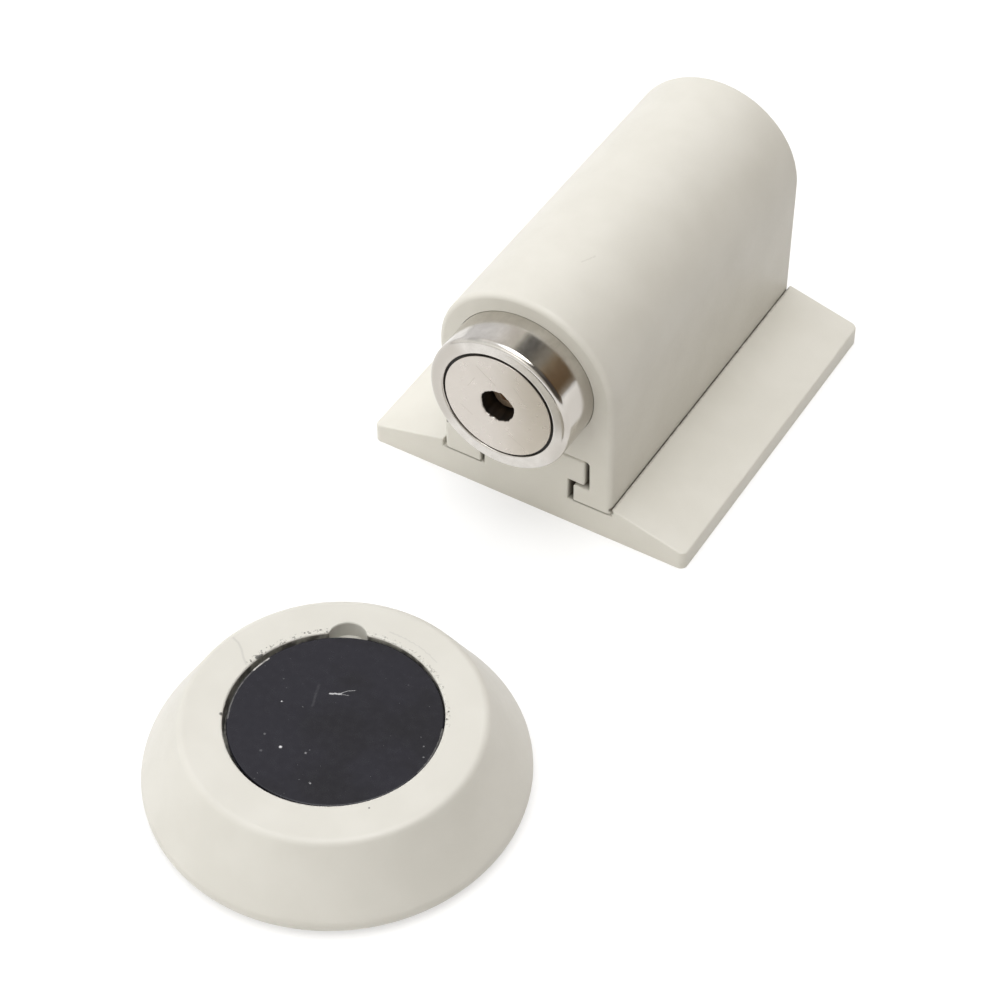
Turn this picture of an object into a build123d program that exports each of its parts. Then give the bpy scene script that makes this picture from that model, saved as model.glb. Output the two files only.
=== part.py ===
"""Magnetic door stop: a floor unit with a cup magnet, and the keeper that it holds.

Millimetres, +Z up, +Y towards the back of the floor unit. The origin is the middle of the
floor plate's underside. The keeper lies on the same floor, in front of the unit.
"""

import os
from math import atan2, degrees, tan

from build123d import *

os.makedirs("parts", exist_ok=True)

# Floor plate
plate_width = 60.0
plate_length = 65.0
plate_edge_height = 3.4
wing_inner_height = 6.9
land_height = 5.4
plate_corner_radius = 1.2
plate_edge_chamfer = 0.4

# T-rail on the floor plate
rail_stem_width = 16.1
rail_stem_height = 4.4
rail_head_width = 22.3
rail_head_thickness = 5.4
rail_edge_rounding = 0.4

# Floor screw holes through the rail
floor_screw_spacing = 36.0
floor_screw_hole_diameter = 4.6
floor_screw_head_diameter = 9.0
countersink_angle = 90.0

# Housing that slides onto the rail
housing_width = 32.0
housing_length = 64.4
housing_rear_wall = 3.5
housing_front_rounding = 1.1
housing_rear_chamfer = 0.8
housing_offset = 0.2
slot_edge_rounding = 0.6
lip_edge_chamfer = 0.4
magnet_axis_height = 29.9

# Play between housing and plate
wing_clearance = 0.4
stem_clearance = 0.85
head_side_clearance = 0.75
head_height_clearance = 0.5
rail_end_clearance = 0.3

# Steel cup of the magnet
pot_diameter = 25.4
pot_wall = 2.4
pot_floor = 5.5
pot_seat_depth = 2.4
pot_seat_clearance = 0.05
pot_front_rounding = 1.0
pot_bore_chamfer = 0.25

# Ring magnet and the bond round it
magnet_thickness = 6.0
magnet_bond_gap = 0.65
magnet_hole_diameter = 5.9
magnet_hole_chamfer = 0.25
bond_recess = 0.4

# Screw that holds the cup to the housing
magnet_screw_diameter = 3.0
magnet_screw_length = 12.0
magnet_screw_head_diameter = 5.5
magnet_screw_head_height = 3.0
magnet_screw_socket = 2.5
magnet_screw_socket_depth = 1.5
magnet_screw_clearance = 0.2
magnet_screw_hole_spare = 2.0

# Set screw that locks the housing on the rail
set_screw_diameter = 4.0
set_screw_recess = 0.4
set_screw_socket = 2.0
set_screw_socket_depth = 2.0
set_screw_from_rear = 18.5

# Edges and tapped holes of both screws
screw_edge_chamfer = 0.3
thread_clearance = 0.05

# Keeper
keeper_x = 5.0
keeper_y = -96.5
keeper_height = 14.0
keeper_foot_radius = 31.5
keeper_top_radius = 23.0
keeper_top_rounding = 1.5
keeper_foot_rounding = 2.5
keeper_rim_width = 2.5
keeper_floor_thickness = 3.0
keeper_boss_radius = 11.0
keeper_rib_count = 4
keeper_rib_thickness = 2.0
keeper_rib_recess = 0.5
keeper_core_chamfer = 0.8

# Recess of the keeper, with its prying notch and screw hole
recess_clearance = 0.35
recess_rim_chamfer = 0.3
notch_radius = 3.0
notch_overhang = 2.1
notch_angle = 116.0
notch_below_recess = 0.5
door_screw_hole_diameter = 4.6
door_screw_head_diameter = 8.6

# Strike disc and its adhesive pad
disc_radius = 16.15
disc_thickness = 2.0
disc_edge_chamfer = 0.3
disc_below_top = 0.45
disc_offset = 0.25
pad_margin = 2.0
pad_thickness = 0.5

# Straight steps that each turned rounding is made of
pot_front_steps = 3
keeper_top_steps = 2
keeper_foot_steps = 4

# Sizes of plate, rail and housing that follow from those above
rail_head_underside = land_height + rail_stem_height
rail_top = rail_head_underside + rail_head_thickness
groove_half_width = housing_width / 2 + wing_clearance
slot_length = housing_length - housing_rear_wall
rail_length = slot_length - rail_end_clearance
lip_half_opening = rail_stem_width / 2 + stem_clearance
lip_top = rail_head_underside - head_height_clearance
slot_half_width = rail_head_width / 2 + head_side_clearance
slot_roof = rail_top + head_height_clearance
front_y = -plate_length / 2
rear_y = front_y + housing_length
set_screw_length = housing_width / 2 - housing_offset - rail_head_width / 2 - set_screw_recess

# Sizes of the magnet, as depths behind its front face
pot_radius = pot_diameter / 2
pot_bore_radius = pot_radius - pot_wall
magnet_radius = pot_bore_radius - magnet_bond_gap
magnet_hole_radius = magnet_hole_diameter / 2
pot_depth = magnet_thickness + pot_floor
magnet_screw_tip = magnet_thickness + magnet_screw_length
magnet_face_y = front_y + pot_seat_depth - pot_depth
magnet_screw_hole_depth = pot_seat_depth + magnet_screw_length - pot_floor + magnet_screw_hole_spare

# Sizes of the keeper: the flat ring that it stands on ends where its rounded foot begins
keeper_slope = atan2(keeper_height, keeper_foot_radius - keeper_top_radius)
keeper_standing_radius = keeper_foot_radius - keeper_foot_rounding / tan(keeper_slope / 2)
keeper_core_radius = keeper_standing_radius - keeper_rim_width
recess_radius = disc_radius + recess_clearance
recess_floor = keeper_height - disc_below_top - disc_thickness - pad_thickness
keeper_core_top = recess_floor - keeper_floor_thickness

# Planes and axes of the magnet unit
plate_front = Plane((0, front_y, 0), x_dir=(1, 0, 0), z_dir=(0, -1, 0))
housing_front = Plane((housing_offset, front_y, 0), x_dir=(1, 0, 0), z_dir=(0, -1, 0))
magnet_seat = Plane((housing_offset, front_y, magnet_axis_height), x_dir=(1, 0, 0), z_dir=(0, -1, 0))
magnet_face = Plane((housing_offset, magnet_face_y, magnet_axis_height), x_dir=(1, 0, 0), z_dir=(0, -1, 0))
magnet_section = Plane(magnet_face.origin, x_dir=(1, 0, 0), z_dir=(0, 0, 1))
magnet_axis = Axis(magnet_face.origin, (0, 1, 0))
set_screw_place = (
    -rail_head_width / 2,
    rear_y - set_screw_from_rear,
    rail_head_underside + rail_head_thickness / 2,
)
set_screw_tip = Plane(set_screw_place, x_dir=(0, 1, 0), z_dir=(-1, 0, 0))

# Planes and axis of the keeper
keeper_floor = Plane((keeper_x, keeper_y, 0))
keeper_section = Plane((keeper_x, keeper_y, 0), x_dir=(1, 0, 0), z_dir=(0, -1, 0))
keeper_axis = Axis((keeper_x, keeper_y, 0), (0, 0, 1))
disc_plane = Plane((keeper_x + disc_offset, keeper_y, recess_floor))


def in_steps(arc, steps):
    """Return the points of an arc at equal steps, both ends included."""
    return [arc @ (step / steps) for step in range(steps + 1)]


# Floor plate: two sloped wings, the lands for the housing's feet, and the T-rail between them
with BuildPart() as base_plate:
    with BuildSketch(plate_front):
        with BuildLine():
            Polyline(
                (0, 0),
                (plate_width / 2, 0),
                (plate_width / 2, plate_edge_height),
                (groove_half_width, wing_inner_height),
                (groove_half_width, land_height),
                (0, land_height),
                close=True,
            )
        make_face()
        mirror(about=Plane.YZ)
    extrude(amount=-plate_length)
    outer_corners = base_plate.edges().filter_by(Axis.Z).sort_by(lambda edge: abs(edge.center().X))[-4:]
    fillet(outer_corners, plate_corner_radius)
    wing_tops = base_plate.faces().filter_by(lambda face: 0.1 < face.normal_at().Z < 0.999)
    chamfer(wing_tops.edges(), plate_edge_chamfer)
    with BuildSketch(plate_front) as rail_section:
        with BuildLine():
            Polyline(
                (0, land_height),
                (rail_stem_width / 2, land_height),
                (rail_stem_width / 2, rail_head_underside),
                (rail_head_width / 2, rail_head_underside),
                (rail_head_width / 2, rail_top),
                (0, rail_top),
                close=True,
            )
        make_face()
        mirror(about=Plane.YZ)
        head_sides = rail_section.vertices().group_by(Axis.X)
        fillet(head_sides[0] + head_sides[-1], rail_edge_rounding)
    extrude(amount=-rail_length)
    with Locations((0, -floor_screw_spacing / 2, rail_top), (0, floor_screw_spacing / 2, rail_top)):
        CounterSinkHole(
            floor_screw_hole_diameter / 2, floor_screw_head_diameter / 2, counter_sink_angle=countersink_angle
        )
base_plate.part.label = "base_plate"
export_step(base_plate.part, "parts/base_plate.step")


# Housing: a round-topped block, closed at the back, whose two lips hook under the rail's head
with BuildPart() as housing:
    with BuildSketch(housing_front):
        with BuildLine():
            right_side = Line((housing_width / 2, land_height), (housing_width / 2, magnet_axis_height))
            crown = CenterArc((0, magnet_axis_height), housing_width / 2, 0, 180)
            left_side = Line(crown @ 1, (-housing_width / 2, land_height))
            Line(left_side @ 1, right_side @ 0)
        make_face()
    extrude(amount=-housing_length)
    end_faces = housing.faces().filter_by(Axis.Y).sort_by(Axis.Y)
    front_edges = end_faces[0].edges().sort_by(Axis.Z)[1:]
    rear_edges = end_faces[-1].edges().sort_by(Axis.Z)[1:]
    fillet(front_edges, housing_front_rounding)
    chamfer(rear_edges, housing_rear_chamfer)
    with BuildSketch(housing_front) as slot_section:
        with BuildLine():
            Polyline(
                (0, land_height),
                (lip_half_opening, land_height),
                (lip_half_opening, lip_top),
                (slot_half_width, lip_top),
                (slot_half_width, slot_roof),
                (0, slot_roof),
                close=True,
            )
        make_face()
        mirror(about=Plane.YZ)
        slot_sides = slot_section.vertices().group_by(Axis.X)
        fillet(slot_sides[0] + slot_sides[-1], slot_edge_rounding)
        lip_corners = slot_section.vertices().group_by(Axis.Y)[1].sort_by(Axis.X)[1:-1]
        chamfer(lip_corners, lip_edge_chamfer)
    extrude(amount=-slot_length, mode=Mode.SUBTRACT)
    with BuildSketch(magnet_seat):
        Circle(pot_radius + pot_seat_clearance)
    extrude(amount=-pot_seat_depth, mode=Mode.SUBTRACT)
    with BuildSketch(magnet_seat):
        Circle(magnet_screw_diameter / 2 + thread_clearance)
    extrude(amount=-magnet_screw_hole_depth, mode=Mode.SUBTRACT)
    with BuildSketch(set_screw_tip):
        Circle(set_screw_diameter / 2 + thread_clearance)
    extrude(amount=housing_width / 2, mode=Mode.SUBTRACT)
housing.part.label = "housing"
export_step(housing.part, "parts/housing.step")


# Steel cup, turned: thick floor with a clearance hole, rounded front rim
with BuildPart() as magnet_pot:
    with BuildSketch(magnet_section) as pot_profile:
        with BuildLine():
            front_arc = CenterArc(
                (pot_radius - pot_front_rounding, pot_front_rounding),
                pot_front_rounding,
                -90,
                90,
                mode=Mode.PRIVATE,
            )
            Polyline(
                (pot_bore_radius, magnet_thickness),
                (pot_bore_radius, 0),
                *in_steps(front_arc, pot_front_steps),
                (pot_radius, pot_depth),
                (magnet_screw_diameter / 2 + magnet_screw_clearance, pot_depth),
                (magnet_screw_diameter / 2 + magnet_screw_clearance, magnet_thickness),
                close=True,
            )
        make_face()
        bore_corner = pot_profile.vertices().group_by(Axis.Y)[0].sort_by(Axis.X)[0]
        chamfer(bore_corner, pot_bore_chamfer)
    revolve(axis=magnet_axis)
magnet_pot.part.label = "magnet_pot"
export_step(magnet_pot.part, "parts/magnet_pot.step")


# Ring magnet, flush with the cup's front
with BuildPart() as ring_magnet:
    with BuildSketch(magnet_section) as magnet_profile:
        with BuildLine():
            Polyline(
                (magnet_hole_radius, 0),
                (magnet_radius, 0),
                (magnet_radius, magnet_thickness),
                (magnet_hole_radius, magnet_thickness),
                close=True,
            )
        make_face()
        hole_corner = magnet_profile.vertices().group_by(Axis.Y)[0].sort_by(Axis.X)[0]
        chamfer(hole_corner, magnet_hole_chamfer)
    revolve(axis=magnet_axis)
ring_magnet.part.label = "ring_magnet"
export_step(ring_magnet.part, "parts/ring_magnet.step")


# Bonding compound in the ring gap between magnet and cup
with BuildPart() as bond_ring:
    with BuildSketch(magnet_section):
        with BuildLine():
            Polyline(
                (magnet_radius, bond_recess),
                (pot_bore_radius, bond_recess),
                (pot_bore_radius, magnet_thickness),
                (magnet_radius, magnet_thickness),
                close=True,
            )
        make_face()
    revolve(axis=magnet_axis)
bond_ring.part.label = "bond_ring"
export_step(bond_ring.part, "parts/bond_ring.step")


# Socket head screw, whose head bears on the cup's floor inside the magnet's hole
with BuildPart() as magnet_screw:
    with BuildSketch(magnet_face.offset(-magnet_screw_tip)):
        Circle(magnet_screw_diameter / 2)
    extrude(amount=magnet_screw_length)
    with BuildSketch(magnet_face.offset(-magnet_thickness)):
        Circle(magnet_screw_head_diameter / 2)
    extrude(amount=magnet_screw_head_height)
    screw_ends = magnet_screw.faces().filter_by(Axis.Y).sort_by(Axis.Y)
    chamfer(screw_ends[0].edges() + screw_ends[-1].edges(), screw_edge_chamfer)
    with BuildSketch(magnet_face.offset(magnet_screw_head_height - magnet_thickness)):
        RegularPolygon(magnet_screw_socket / 2, 6, major_radius=False)
    extrude(amount=-magnet_screw_socket_depth, mode=Mode.SUBTRACT)
magnet_screw.part.label = "magnet_screw"
export_step(magnet_screw.part, "parts/magnet_screw.step")


# Set screw in the housing's side, whose tip bears on the side of the rail's head
with BuildPart() as housing_set_screw:
    with BuildSketch(set_screw_tip):
        Circle(set_screw_diameter / 2)
    extrude(amount=set_screw_length)
    set_screw_ends = housing_set_screw.faces().filter_by(Axis.X)
    chamfer(set_screw_ends.edges(), screw_edge_chamfer)
    with BuildSketch(set_screw_tip.offset(set_screw_length)):
        RegularPolygon(set_screw_socket / 2, 6, major_radius=False)
    extrude(amount=-set_screw_socket_depth, mode=Mode.SUBTRACT)
housing_set_screw.part.label = "housing_set_screw"
export_step(housing_set_screw.part, "parts/housing_set_screw.step")


# Keeper: a sloped button, recessed on top for the disc and cored out below round a ribbed boss
with BuildPart() as keeper_ring:
    with BuildSketch(keeper_section) as keeper_profile:
        with BuildLine():
            foot_arc = CenterArc(
                (keeper_standing_radius, keeper_foot_rounding),
                keeper_foot_rounding,
                -90,
                180 - degrees(keeper_slope),
                mode=Mode.PRIVATE,
            )
            top_arc = CenterArc(
                (keeper_top_radius - keeper_top_rounding * tan(keeper_slope / 2), keeper_height - keeper_top_rounding),
                keeper_top_rounding,
                90 - degrees(keeper_slope),
                degrees(keeper_slope),
                mode=Mode.PRIVATE,
            )
            Polyline(
                (0, 0),
                *in_steps(foot_arc, keeper_foot_steps),
                *in_steps(top_arc, keeper_top_steps),
                (recess_radius, keeper_height),
                (recess_radius, recess_floor),
                (0, recess_floor),
                close=True,
            )
        make_face()
        recess_corner = keeper_profile.vertices().group_by(Axis.Y)[-1].sort_by(Axis.X)[0]
        chamfer(recess_corner, recess_rim_chamfer)
    revolve(axis=keeper_axis)
    with BuildSketch(keeper_section) as core_profile:
        with BuildLine():
            Polyline(
                (keeper_boss_radius, 0),
                (keeper_core_radius, 0),
                (keeper_core_radius, keeper_core_top),
                (keeper_boss_radius, keeper_core_top),
                close=True,
            )
        make_face()
        chamfer(core_profile.vertices().group_by(Axis.Y)[-1], keeper_core_chamfer)
    revolve(axis=keeper_axis, mode=Mode.SUBTRACT)
    with BuildSketch(keeper_floor.offset(keeper_rib_recess)):
        with PolarLocations((keeper_boss_radius + keeper_core_radius) / 2, keeper_rib_count):
            Rectangle(keeper_core_radius - keeper_boss_radius + 1, keeper_rib_thickness)
    extrude(amount=keeper_core_top - keeper_rib_recess)
    with BuildSketch(keeper_floor.offset(keeper_height)):
        with PolarLocations(recess_radius + notch_overhang - notch_radius, 1, notch_angle):
            Circle(notch_radius)
    extrude(amount=recess_floor - notch_below_recess - keeper_height, mode=Mode.SUBTRACT)
    with Locations((keeper_x, keeper_y, recess_floor)):
        CounterSinkHole(
            door_screw_hole_diameter / 2, door_screw_head_diameter / 2, counter_sink_angle=countersink_angle
        )
keeper_ring.part.label = "keeper_ring"
export_step(keeper_ring.part, "parts/keeper_ring.step")


# Adhesive pad on the recess's floor
with BuildPart() as strike_pad:
    with BuildSketch(disc_plane):
        Circle(disc_radius - pad_margin)
    extrude(amount=pad_thickness)
strike_pad.part.label = "strike_pad"
export_step(strike_pad.part, "parts/strike_pad.step")


# Steel strike disc, a little below the keeper's top
with BuildPart() as strike_disc:
    with BuildSketch(disc_plane.offset(pad_thickness)):
        Circle(disc_radius)
    extrude(amount=disc_thickness)
    chamfer(strike_disc.faces().sort_by(Axis.Z)[-1].edges(), disc_edge_chamfer)
strike_disc.part.label = "strike_disc"
export_step(strike_disc.part, "parts/strike_disc.step")
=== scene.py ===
"""Looks of the magnetic door stop: a floor unit with a cup magnet, and its keeper.

Lengths in the tables below are millimetres in the part's own frame.
"""

import math

import bmesh
import bpy
from mathutils import Matrix, Vector


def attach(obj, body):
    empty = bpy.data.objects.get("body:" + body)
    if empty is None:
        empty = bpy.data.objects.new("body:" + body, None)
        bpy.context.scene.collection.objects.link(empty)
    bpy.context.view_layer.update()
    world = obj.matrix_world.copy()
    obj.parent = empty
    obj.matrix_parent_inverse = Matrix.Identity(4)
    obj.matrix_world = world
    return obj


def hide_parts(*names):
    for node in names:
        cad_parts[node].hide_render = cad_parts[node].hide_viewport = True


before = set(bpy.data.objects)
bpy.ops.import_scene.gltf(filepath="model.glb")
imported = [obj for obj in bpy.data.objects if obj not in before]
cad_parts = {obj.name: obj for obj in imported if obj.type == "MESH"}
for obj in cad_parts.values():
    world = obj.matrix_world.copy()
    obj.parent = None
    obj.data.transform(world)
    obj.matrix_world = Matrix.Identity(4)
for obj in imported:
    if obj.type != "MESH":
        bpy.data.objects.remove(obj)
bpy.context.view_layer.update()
MM = 0.001

# Magnet unit: the middle of the housing's round, the housing's front, and how far that leans
AXIS_X = 0.2
AXIS_HEIGHT = 29.9
FRONT = -32.5
LEAN = math.tan(math.radians(1.9))

# Housing, its slot and the cup's seat: half widths, lengths and heights
HOUSING_SIDE = 16.0
HOUSING_LENGTH = 64.4
SLOT_LENGTH = 60.9
SLOT_NECK, SLOT_HEAD = 8.9, 11.9
SLOT_STEP, SLOT_TOP = 9.3, 15.7
SEAT_RADIUS = 12.75
SEAT_DEPTH = 2.4

# Base plate and its rail: half widths, length, heights, the wings' upper edges (x, z), where the rail ends
# along y, the rounding of its corners and edges, and where its screws are along y
PLATE_SIDE = 30
PLATE_LENGTH = 65
PLATE_EDGE = 3.4
LAND = 5.4
RAIL_NECK, RAIL_HEAD = 8.05, 11.15
RAIL_STEP, RAIL_TOP = 9.8, 15.2
WING_EDGES = ((16.3, 6.93), (-16.1, 6.97))
RAIL_END = 28.1
PLATE_CORNER = 1.2
PLATE_ROUNDING = 0.4
FLOOR_SCREWS = (-18, 18)

# Cup and magnet: their axis runs along y through this point on the magnet's front face
MAGNET_FACE = (AXIS_X, -41.6, AXIS_HEIGHT)
POT_RADIUS = 12.7
POT_BORE = 10.05
POT_DEPTH = 11.5
POT_SCREW_HOLE = 1.7
MAGNET_RADIUS = 9.65
MAGNET_DEPTH = 6.0
HOLE_RADIUS = 2.95
BOND_RECESS = 0.7

# Chips round the magnet's hole: direction in degrees, half width in degrees, depth
CHIPS = (
    (228, 10, 0.30), (247, 7, 0.20), (272, 9, 0.24), (20, 13, 0.16), (158, 11, 0.14), (312, 8, 0.16),
    (75, 12, 0.10),
)

# Keeper: its axis runs along z through this point on the floor
KEEPER = (5.0, -96.5, 0.0)
KEEPER_TOP = 14.0
FOOT_RADIUS = 31.5
FOOT_ROUNDING = 2.5
TOP_RADIUS = 23.0
WALL = 2.5
BOSS_RADIUS = 11.0
CORE_TOP = 8.05
RIB_THICKNESS = 2
RIB_HEIGHT = 7.8
RIB_MIDDLE = 4.4
RIB_OVERLAP = 0.6
RECESS_RADIUS = 16.5
RECESS_FLOOR = 11.05
NOTCH_RADIUS = 3.0
NOTCH_REACH = 2.1
NOTCH_ANGLE = math.radians(116)
DISC_CENTRE = (5.25, -96.5, 11.55)
DISC_RADIUS = 16.15
DISC_THICKNESS = 2.0
DISC_TOP = 13.55

# Countersunk screw holes: the radii of shank and head
SHANK_RADIUS = 2.3
DOOR_HEAD_RADIUS = 4.3
FLOOR_HEAD_RADIUS = 4.5


# Shapes

def rounded(corners, per_quarter=8):
    """Points of a closed outline whose corners (x, y, radius) are rounded."""
    points = []
    for i, (x, y, radius) in enumerate(corners):
        corner = Vector((x, y))
        if radius == 0:
            points.append(corner)
            continue
        before = (Vector(corners[i - 1][:2]) - corner).normalized()
        after = (Vector(corners[(i + 1) % len(corners)][:2]) - corner).normalized()
        half = before.angle(after) / 2
        centre = corner + (before + after).normalized() * (radius / math.sin(half))
        start = corner + before * (radius / math.tan(half)) - centre
        end = corner + after * (radius / math.tan(half)) - centre
        turn = math.pi - 2 * half
        steps = max(2, math.ceil(per_quarter * turn / (math.pi / 2)))
        for k in range(steps + 1):
            a = turn * k / steps
            points.append(centre + (start * math.sin(turn - a) + end * math.sin(a)) / math.sin(turn))
    return points


def braced(points, gap=0.05):
    """The same outline with points close to the ends of its long straight runs, which keeps them flat."""
    out = []
    for i, point in enumerate(points):
        out.append(point)
        run = points[(i + 1) % len(points)] - point
        if run.length > 6 * gap:
            out.append(point + run.normalized() * gap)
            out.append(point + run - run.normalized() * gap)
    return out


def added(name, mesh):
    """A new object in the scene."""
    piece = bpy.data.objects.new(name, mesh)
    bpy.context.scene.collection.objects.link(piece)
    return piece


def solid(name, bm):
    """An object from a closed mesh in millimetres."""
    bmesh.ops.remove_doubles(bm, verts=bm.verts, dist=1e-5)
    bmesh.ops.recalc_face_normals(bm, faces=bm.faces)
    bmesh.ops.scale(bm, vec=(MM, MM, MM), verts=bm.verts)
    mesh = bpy.data.meshes.new(name)
    bm.to_mesh(mesh)
    bm.free()
    return added(name, mesh)


def applied(piece):
    """Make the modifiers of the piece part of its mesh."""
    bpy.context.view_layer.update()
    shaped = piece.evaluated_get(bpy.context.evaluated_depsgraph_get())
    mesh = bpy.data.meshes.new_from_object(shaped)
    piece.modifiers.clear()
    piece.data = mesh


def carved(piece, *cutters):
    """The piece with each cutter taken out of it, and no sliver faces left by the cuts."""
    for cutter in cutters:
        cut = piece.modifiers.new("cut", "BOOLEAN")
        cut.operation = "DIFFERENCE"
        cut.solver = "EXACT"
        cut.object = cutter
    applied(piece)
    for cutter in cutters:
        bpy.data.objects.remove(cutter)
    bm = bmesh.new()
    bm.from_mesh(piece.data)
    bmesh.ops.dissolve_degenerate(bm, dist=0.001 * MM, edges=bm.edges)
    bm.to_mesh(piece.data)
    bm.free()
    return piece


def dressed(piece, material, node):
    """Smooth shading with flat faces kept flat; the piece stands for a node of the part."""
    mesh = piece.data
    mesh.name = piece.name
    mesh.polygons.foreach_set("use_smooth", [True] * len(mesh.polygons))
    mesh.set_sharp_from_angle(angle=math.radians(30))
    mesh.materials.clear()
    mesh.materials.append(material)
    weigh = piece.modifiers.new("weigh", "WEIGHTED_NORMAL")
    weigh.keep_sharp = True
    weigh.weight = 80
    applied(piece)
    piece.data.name = piece.name
    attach(piece, "root")
    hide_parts(node)


def end_rings(points, radii, y_end, inward, steps, flare=False):
    """Rings from the flat end of a bar along y to its full section: the end's edges are rounded.

    radii holds one rounding for each side of the outline, from a point to the next. A flared end
    widens instead, which makes a rounded mouth when it is cut out of another piece.
    """
    shifts, depths = [], []
    for i, point in enumerate(points):
        a = (point - points[i - 1]).normalized()
        b = (points[(i + 1) % len(points)] - point).normalized()
        out_a, out_b = Vector((a.y, -a.x)), Vector((b.y, -b.x))
        r_a, r_b = radii[i - 1], radii[i]
        det = out_a.x * out_b.y - out_a.y * out_b.x
        if abs(det) < 0.05:
            shift = (out_a + out_b).normalized() * (r_a + r_b) / 2
        else:
            shift = Vector((r_a * out_b.y - r_b * out_a.y, r_b * out_a.x - r_a * out_b.x)) / det
        shifts.append(shift)
        depths.append(max(r_a, r_b))
    rings = []
    for k in range(steps + 1):
        turn = math.pi / 2 * k / steps
        share = (1 - math.sin(turn)) * (-1 if flare else 1)
        rings.append([
            Vector((p.x - v.x * share, y_end + inward * d * (1 - math.cos(turn)), p.y - v.y * share))
            for p, v, d in zip(points, shifts, depths)
        ])
    return rings


def bar(bm, points, radii, front, back, back_radii=None, flare=False, origin_x=0, steps=6):
    """A closed bar along y with the given section (x, z) and rounded edges at both ends."""
    rings = end_rings(points, radii, front, 1, steps, flare)
    if flare:
        rings.insert(0, [v - Vector((0, 1, 0)) for v in rings[0]])
    rings += reversed(end_rings(points, back_radii or [0] * len(points), back, -1, steps))
    loops = [[bm.verts.new(v + Vector((origin_x, 0, 0))) for v in ring] for ring in rings]
    for a, b in zip(loops, loops[1:]):
        for i in range(len(a)):
            j = (i + 1) % len(a)
            bm.faces.new((a[i], a[j], b[j], b[i]))
    bm.faces.new(loops[0])
    bm.faces.new(reversed(loops[-1]))


def turned(bm, outline, origin, axis, count, warp=None):
    """Turn a closed outline of (radius, height) round an axis; warp may move each point."""
    rings = []
    for k in range(count):
        angle = 2 * math.pi * k / count
        ring = []
        for radius, height in outline:
            r, h = (radius, height) if warp is None else warp(radius, height, angle)
            across, up = r * math.cos(angle), r * math.sin(angle)
            offset = Vector((across, h, up)) if axis == "y" else Vector((across, up, h))
            ring.append(bm.verts.new(Vector(origin) + offset))
        rings.append(ring)
    size = len(outline)
    for k in range(count):
        a, b = rings[k], rings[(k + 1) % count]
        for i in range(size):
            j = (i + 1) % size
            if outline[i][0] != 0 or outline[j][0] != 0:
                bm.faces.new([a[i], a[j], b[j], b[i]])


def box_cutter(low, high):
    """A box between two corners, to cut with."""
    bm = bmesh.new()
    corners = [(low[0], low[2], 0), (high[0], low[2], 0), (high[0], high[2], 0), (low[0], high[2], 0)]
    bar(bm, rounded(corners), [0] * 4, low[1], high[1], steps=1)
    return solid("cutter", bm)


def round_cutter(outline, origin, axis, count):
    """A turned shape, to cut with."""
    bm = bmesh.new()
    turned(bm, [Vector(p) for p in outline], origin, axis, count)
    return solid("cutter", bm)


# Materials

class Nodes:
    """Short calls for the nodes of one tree."""

    def __init__(self, tree):
        self.tree = tree

    def node(self, kind, **settings):
        node = self.tree.nodes.new(kind)
        for key, value in settings.items():
            setattr(node, key, value)
        return node

    def link(self, source, target):
        self.tree.links.new(source, target)

    def math(self, operation, a, b=0.0, clamp=False):
        node = self.node("ShaderNodeMath", operation=operation, use_clamp=clamp)
        for socket, value in zip(node.inputs, (a, b)):
            if isinstance(value, (int, float)):
                socket.default_value = value
            else:
                self.link(value, socket)
        return node.outputs[0]

    def times(self, *parts):
        """The product of the parts."""
        whole = parts[0]
        for part in parts[1:]:
            whole = self.math("MULTIPLY", whole, part)
        return whole

    def most(self, *parts):
        """The largest of the parts."""
        whole = parts[0]
        for part in parts[1:]:
            whole = self.math("MAXIMUM", whole, part)
        return whole

    def span(self, value, low, high, to_low=0.0, to_high=1.0, smooth=True):
        """to_low where the value is low, to_high where it is high, and between them in between."""
        node = self.node("ShaderNodeMapRange", interpolation_type="SMOOTHSTEP" if smooth else "LINEAR")
        self.link(value, node.inputs["Value"])
        for key, number in zip(("From Min", "From Max", "To Min", "To Max"), (low, high, to_low, to_high)):
            node.inputs[key].default_value = number
        return node.outputs["Result"]

    def mix(self, amount, a, b):
        """Mix two colours, each a tuple or a socket."""
        node = self.node("ShaderNodeMix", data_type="RGBA")
        sockets = [s for s in node.inputs if s.type == "RGBA"]
        for socket, value in zip(sockets, (a, b)):
            if isinstance(value, tuple):
                socket.default_value = (*value, 1)
            else:
                self.link(value, socket)
        self.link(amount, node.inputs["Factor"])
        return [s for s in node.outputs if s.type == "RGBA"][0]


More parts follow.
